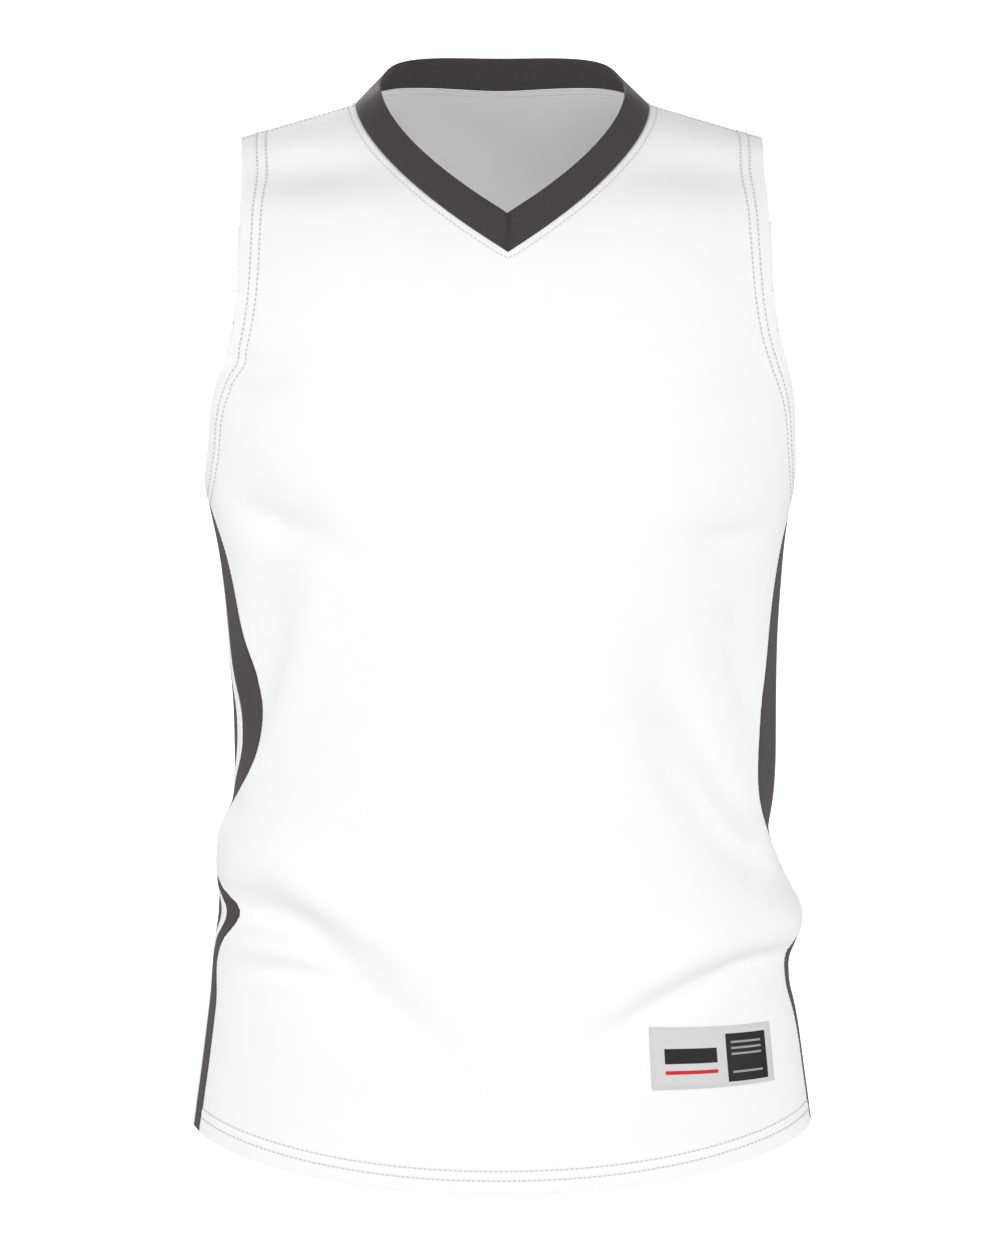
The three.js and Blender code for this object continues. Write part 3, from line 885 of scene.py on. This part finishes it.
def make_panel(node, face, width, length, area):
    """One body panel with its hems, seams and creases."""
    scene = bpy.context.scene
    sizes, cloth = scene.jersey_sizes, finishes()
    bm = outer_sheet(node, CLOTH_WALL)
    turns = [(side * x, z) for side in (-1, 1) for _, x, z in CORNERS]
    kept_sharp(bm, turns + [NECK_POINT] * (face < 0))
    bm = refined(bm, 2)
    runs = panel_runs(bm)
    from_hem = measured_from([run for (name, _), run in runs.items() if name in HEMMED])
    near = sizes.hem_high_row + FINER_PAST
    close = {vert for vert in bm.verts if from_hem(vert.co) < near}
    edges = [edge for edge in bm.edges if edge.verts[0] in close and edge.verts[1] in close]
    bmesh.ops.subdivide_edges(bm, edges=edges, cuts=1, use_grid_fill=True)
    bmesh.ops.inset_region(
        bm, faces=bm.faces, thickness=BORDER_RING, use_boundary=True, use_even_offset=True)
    bm.verts.index_update()
    far = {}
    for wanted in ROWS:
        distance = measured_from([run for (name, _), run in runs.items() if name == wanted])
        far[wanted] = [distance(vert.co) for vert in bm.verts]
    hem = [min(pair) for pair in zip(*(far[name] for name in HEMMED))]
    seam = [min(three) for three in zip(*(far[name] for name in ROWS if name not in HEMMED))]
    beyond = sizes.shoulder_row - sizes.top_row
    dented = [
        min(neck, shoulder - beyond) if shoulder > beyond else neck
        for neck, shoulder in zip(far["neck"], far["shoulder"])
    ]
    creased(bm)
    bm.normal_update()
    rings = border_rings(bm)
    sewn = [[vert for vert in ring if seam[vert.index] < 1 * MM] for ring in rings]
    moves = [hem_profile(far, sizes) for far in hem]
    for vert, move in zip(bm.verts, moves):
        vert.co += vert.normal * move
    seamed(bm, sewn, PANEL_DROP, SEAM_CLOSE)
    lay_knit(bm, face)
    stored(bm, "hem", hem)
    stored(bm, "seam", dented)
    folded = sizes.hem_high_row
    thin = [1.0 if far < folded else sizes.wall / sizes.hem_wall for far in hem]
    bm.normal_update()
    surface = BVHTree.FromBMesh(bm)
    for name, insets in ROWS.items():
        levels = [getattr(sizes, inset) for inset in insets]
        lines = [line for level in levels for line in contours(bm, far[name], level)]
        SEWN[node, name] = [(surface, line) for line in lines]
    # The inner face takes the inside knit, whose darker colour is painted shade.
    sides = [cloth["white"], cloth["inside"]]
    made = walled(bm, node + "_panel", sizes.hem_wall, 0.3 * MM, sides, thin)
    bm.free()
    placed(made, node)


def make_band():
    """The rib neckband, mitred at the point of the V."""
    sizes, cloth = bpy.context.scene.jersey_sizes, finishes()
    bm = outer_sheet("neckband", BAND_WALL)
    kept_sharp(bm, (), mitred=True)
    bm = refined(bm, 3)
    rings = sorted(border_rings(bm), key=lambda ring: min(vert.co.z for vert in ring))
    seam_ring = rings[0]
    highest = max(range(len(seam_ring)), key=lambda i: seam_ring[i].co.y)
    count = len(seam_ring)
    seam = [seam_ring[(highest + i) % count].co.copy() for i in range(count + 1)]
    lengths = [0.0]
    for one, two in zip(seam, seam[1:]):
        lengths.append(lengths[-1] + (two - one).length)
    tree = KDTree(len(seam))
    for index, place in enumerate(seam):
        tree.insert(place, index)
    tree.balance()
    layer = bm.loops.layers.uv.new("cloth")
    for cell in bm.faces:
        found = [tree.find(loop.vert.co) for loop in cell.loops]
        along = [lengths[index % (len(seam) - 1)] for _, index, _ in found]
        high = max(along)
        for loop, (_, _, far), reach in zip(cell.loops, found, along):
            wraps = high - reach > lengths[-1] / 2
            loop[layer].uv = reach + lengths[-1] * wraps, far
    stored(bm, "mitre", [abs(vert.co.x) if vert.co.y < 0 else 1.0 for vert in bm.verts])
    bm.normal_update()
    lowest = min(border_rings(bm), key=lambda ring: min(vert.co.z for vert in ring))
    seamed(bm, [lowest], BAND_DROP, SEAM_CLOSE)
    for vert in bm.verts:
        if vert.co.y < 0:
            vert.co -= vert.normal * MITRE_DEPTH * math.exp(-((vert.co.x / MITRE_REACH) ** 2))
    bm.normal_update()
    made = walled(bm, "neckband_rib", sizes.band_wall, 0.6 * MM, [cloth["rib"]])
    bm.free()
    placed(made, "neckband")


def make_insert(side, name):
    """The three strips of one side insert."""
    sizes, cloth = bpy.context.scene.jersey_sizes, finishes()
    for part, finish, slot, width, length, area in STRIPS:
        node = f"side_{name}_{part}"
        bm = refined(outer_sheet(node, CLOTH_WALL), 3)
        creased(bm)
        bm.normal_update()
        rings = border_rings(bm)
        ring = [vert.co.copy() for vert in rings[0]]
        low = min(place.z for place in ring)
        top = max(place.z for place in ring)
        is_long = [low + 22 * MM < place.z < top for place in ring]
        from_seam = measured_from([[p for p, keep in zip(ring, is_long) if keep]])
        far = [from_seam(vert.co) for vert in bm.verts]
        sewn = [vert for vert in rings[0] if vert.co.z > low + 1 * MM]
        seamed(bm, [sewn], STRIP_DROP, SEAM_CLOSE)
        stored(bm, "hem", [vert.co.z - low for vert in bm.verts])
        stored(bm, "seam", far)
        lay_knit(bm, -1)
        bm.normal_update()
        made = walled(bm, node + "_strip", sizes.wall, 0.25 * MM, [cloth[finish]])
        bm.free()
        placed(made, node)


# The label's flat size, and how far in from its edge it is sewn. Its edge is sunk there, and it
# swells a little in between.
LABEL_SIZE = (94 * MM, 41 * MM)
LABEL_ROW = 1.6 * MM
LABEL_SINK = 0.75 * MM
LABEL_SINK_REACH = 2.2 * MM
LABEL_SWELL = 0.25 * MM
LABEL_SWELL_LENGTH = 6.5 * MM
LABEL_SWELL_EDGE = 8 * MM


def between(at, one, two):
    """How far from the first line towards the second a point lies, from 0 to 1."""
    offs = []
    for start, end in (one, two):
        offs.append(abs((end - start).normalized().cross(at - start)))
    return offs[0] / (offs[0] + offs[1])


def make_label():
    """The satin label, sewn down along its edges."""
    sizes, cloth = bpy.context.scene.jersey_sizes, finishes()
    bm = refined(outer_sheet("label", LABEL_WALL), 3)
    ring = border_rings(bm)[0]
    places = [vert.co.copy() for vert in ring]
    low_left = min(places, key=lambda p: p.x + p.z).xz
    low_right = max(places, key=lambda p: p.x - p.z).xz
    top_left = min(places, key=lambda p: p.x - p.z).xz
    top_right = max(places, key=lambda p: p.x + p.z).xz
    length, height = LABEL_SIZE
    from_edge = measured_from([places + places[:1]])
    far = [from_edge(vert.co) for vert in bm.verts]
    layer = bm.loops.layers.uv.new("cloth")
    for loop in (loop for cell in bm.faces for loop in cell.loops):
        at = loop.vert.co.xz
        across = between(at, (low_left, top_left), (low_right, top_right))
        up = between(at, (low_left, low_right), (top_left, top_right))
        loop[layer].uv = across * length, up * height
    bm.normal_update()
    for vert, edge in zip(bm.verts, far):
        sunk = LABEL_SINK * math.exp(-((edge / LABEL_SINK_REACH) ** 2))
        swell = LABEL_SWELL * math.sin(vert.co.x / LABEL_SWELL_LENGTH)
        swell *= min(1, edge / LABEL_SWELL_EDGE)
        vert.co += vert.normal * (swell - sunk)
    stored(bm, "edge", far)
    bm.normal_update()
    surface = BVHTree.FromBMesh(bm)
    SEWN["label", "edge"] = [(surface, line) for line in contours(bm, far, LABEL_ROW)]
    made = walled(bm, "hem_label", sizes.label_wall, 0.12 * MM, [cloth["satin"]])
    bm.free()
    placed(made, "label")


def sew(name, rows, width=1.0):
    """One piece of thread: every stitch of these rows, half sunk in the cloth it is set on."""
    sizes = bpy.context.scene.jersey_sizes
    bead = bmesh.new()
    bmesh.ops.create_uvsphere(bead, u_segments=6, v_segments=4, radius=1)
    stitch = bpy.data.meshes.new("stitch")
    bead.to_mesh(stitch)
    bead.free()
    bm = bmesh.new()
    for surface, line in rows:
        for place, ahead in spaced(line, sizes.pitch):
            spot, normal, _, _ = surface.find_nearest(place)
            ahead = (ahead - normal * ahead.dot(normal)).normalized()
            beside = normal.cross(ahead)
            half = sizes.thread * width / 2
            turned = Matrix((beside * half, normal * half, ahead * sizes.stitch / 2)).transposed()
            at = Matrix.Translation(spot + normal * half * 0.35) @ turned.to_4x4()
            stitch.transform(at)
            bm.from_mesh(stitch)
            stitch.transform(at.inverted())
    bpy.data.meshes.remove(stitch)
    bmesh.ops.recalc_face_normals(bm, faces=bm.faces)
    made = new_object(bm, name)
    made.data.shade_smooth()
    made.data.materials.append(finishes()["thread"])
    bm.free()
    placed(made, None)
    return made


# How much thinner than the hems' thread some rows are.
FINE_ROWS = {"neck": 0.65, "side": 0.36, "edge": 0.3}


class Step:
    """What every step of the making shares."""

    bl_options = {"REGISTER", "UNDO"}

    def execute(self, context):
        self.make(context)
        return {"FINISHED"}


class JERSEY_OT_panels(Step, bpy.types.Operator):
    """Makes the front and back panels"""

    bl_idname = "jersey.panels"
    bl_label = "Body panels"

    def make(self, context):
        for row in PANELS:
            make_panel(*row)


class JERSEY_OT_neckband(Step, bpy.types.Operator):
    """Makes the rib neckband"""

    bl_idname = "jersey.neckband"
    bl_label = "Neckband"

    def make(self, context):
        make_band()


class JERSEY_OT_inserts(Step, bpy.types.Operator):
    """Makes the dark side inserts and their white stripes"""

    bl_idname = "jersey.inserts"
    bl_label = "Side inserts"

    def make(self, context):
        make_insert(-1, "left")
        make_insert(1, "right")


class JERSEY_OT_label(Step, bpy.types.Operator):
    """Makes the hem label"""

    bl_idname = "jersey.label"
    bl_label = "Hem label"

    def make(self, context):
        make_label()


class JERSEY_OT_stitches(Step, bpy.types.Operator):
    """Sews the rows of stitches along hems, seams and label"""

    bl_idname = "jersey.stitches"
    bl_label = "Stitches"

    def make(self, context):
        for (node, name), rows in SEWN.items():
            sew(f"{node}_{name}_stitches", rows, FINE_ROWS.get(name, 1.0))


class JERSEY_OT_stage(Step, bpy.types.Operator):
    """Sets up the floor, backdrop, lights and camera"""

    bl_idname = "jersey.stage"
    bl_label = "Stage"

    def make(self, context):
        stage = context.scene.jersey_stage
        colours = context.scene.jersey_colours
        make_floor(stage, colours)
        make_lights(stage)
        make_camera(stage)


def make_floor(stage, colours):
    """A round floor that curves up into a wall all round."""
    reach, curve, top = 4.2, 1.2, 3.4
    bm = bmesh.new()
    profile = [(0, 0), (reach - curve, 0)]
    profile += [
        (reach - curve + curve * math.sin(turn), curve * (1 - math.cos(turn)))
        for turn in (math.radians(10 * step) for step in range(1, 10))
    ]
    profile.append((reach, top))
    verts = [bm.verts.new((x, 0, stage.floor + z)) for x, z in profile]
    edges = [bm.edges.new(pair) for pair in zip(verts, verts[1:])]
    bmesh.ops.spin(
        bm, geom=verts + edges, cent=(0, 0, 0), axis=(0, 0, 1), angle=math.tau, steps=72,
        use_merge=True)
    bmesh.ops.remove_doubles(bm, verts=bm.verts, dist=MERGE)
    bmesh.ops.recalc_face_normals(bm, faces=bm.faces)
    bm.normal_update()
    lowest = min(bm.faces, key=lambda face: face.calc_center_median().xy.length)
    if lowest.normal.z < 0:
        bmesh.ops.reverse_faces(bm, faces=bm.faces)
    floor = new_object(bm, "floor")
    bm.free()
    floor.data.shade_smooth()
    floor.data.materials.append(floor_finish("pale_floor", colours.floor[:], stage.glow))
    floor.visible_diffuse = floor.visible_glossy = floor.visible_shadow = False


# Lights: name, the power's name, place, size and what it points at, in metres.
LIGHTS = (
    ("key_light", "key", (0.6, -3.2, 0.1), 2.0, (0, 0, -0.3)),
    ("fill_light", "fill", (-2.75, -1.9, -0.1), 2.4, (0, 0, -0.4)),
    ("side_light", "side", (2.75, -1.8, -0.4), 2.4, (0, 0, -0.4)),
    ("rear_light", "rear", (-0.6, 2.9, 1.5), 2.4, (0, 0, -0.3)),
)


def make_lights(stage):
    """Large soft lights, and a pale world above the floor's wall."""
    for name, power, place, size, target in LIGHTS:
        lamp = bpy.data.lights.new(name, "AREA")
        lamp.energy = getattr(stage, power)
        lamp.shape = "DISK"
        lamp.size = size
        made = bpy.data.objects.new(name, lamp)
        made.location = place
        made.rotation_euler = (Vector(target) - Vector(place)).to_track_quat("-Z", "Y").to_euler()
        bpy.context.scene.collection.objects.link(made)
    world = bpy.data.worlds.new("pale_world")
    world.use_nodes = True
    sky = world.node_tree.nodes["Background"]
    sky.inputs["Color"].default_value = (1, 1, 1, 1)
    sky.inputs["Strength"].default_value = stage.world
    bpy.context.scene.world = world
    bpy.context.scene.view_settings.view_transform = "Standard"


# The photograph's lens, for a frame 1250 high: focal length and the middle's shift, both in pixels.
FRAME_HEIGHT = 1250
FOCAL_PX = 3494
SHIFT_PX = -2.5
SENSOR = 36


def make_camera(stage):
    """The camera at the photograph's angle."""
    lens = bpy.data.cameras.new("camera")
    lens.sensor_fit = "VERTICAL"
    lens.sensor_height = SENSOR
    lens.lens = FOCAL_PX * SENSOR / FRAME_HEIGHT
    lens.shift_x = SHIFT_PX / FRAME_HEIGHT
    camera = bpy.data.objects.new("camera", lens)
    back = stage.distance
    camera.location = (-back * math.sin(stage.turn), -back * math.cos(stage.turn), stage.height)
    camera.rotation_euler = (math.pi / 2 - stage.tilt, 0, -stage.turn)
    bpy.context.scene.collection.objects.link(camera)
    bpy.context.scene.camera = camera


STEPS = (
    JERSEY_OT_stage,
    JERSEY_OT_panels,
    JERSEY_OT_neckband,
    JERSEY_OT_inserts,
    JERSEY_OT_label,
    JERSEY_OT_stitches,
)


class JERSEY_PT_making(bpy.types.Panel):
    """Lists the steps and the sizes they use"""

    bl_label = "Basketball jersey"
    bl_space_type = "VIEW_3D"
    bl_region_type = "UI"
    bl_category = "Jersey"

    def draw(self, context):
        for step in STEPS:
            self.layout.operator(step.bl_idname)
        for name, kind in GROUPS:
            box = self.layout.box()
            for prop in kind.__annotations__:
                box.prop(getattr(context.scene, name), prop)


GROUPS = (
    ("jersey_sizes", ClothSizes),
    ("jersey_colours", ClothColours),
    ("jersey_stage", StageSizes),
)


def register():
    for name, group in GROUPS:
        bpy.utils.register_class(group)
        setattr(bpy.types.Scene, name, PointerProperty(type=group))
    for step in STEPS:
        bpy.utils.register_class(step)
    bpy.utils.register_class(JERSEY_PT_making)


def unregister():
    bpy.utils.unregister_class(JERSEY_PT_making)
    for step in reversed(STEPS):
        bpy.utils.unregister_class(step)
    for name, group in reversed(GROUPS):
        delattr(bpy.types.Scene, name)
        bpy.utils.unregister_class(group)


def main():
    register()
    bpy.ops.jersey.stage()
    bpy.ops.jersey.panels()
    bpy.ops.jersey.neckband()
    bpy.ops.jersey.inserts()
    bpy.ops.jersey.label()
    bpy.ops.jersey.stitches()


if __name__ == "__main__":
    main()
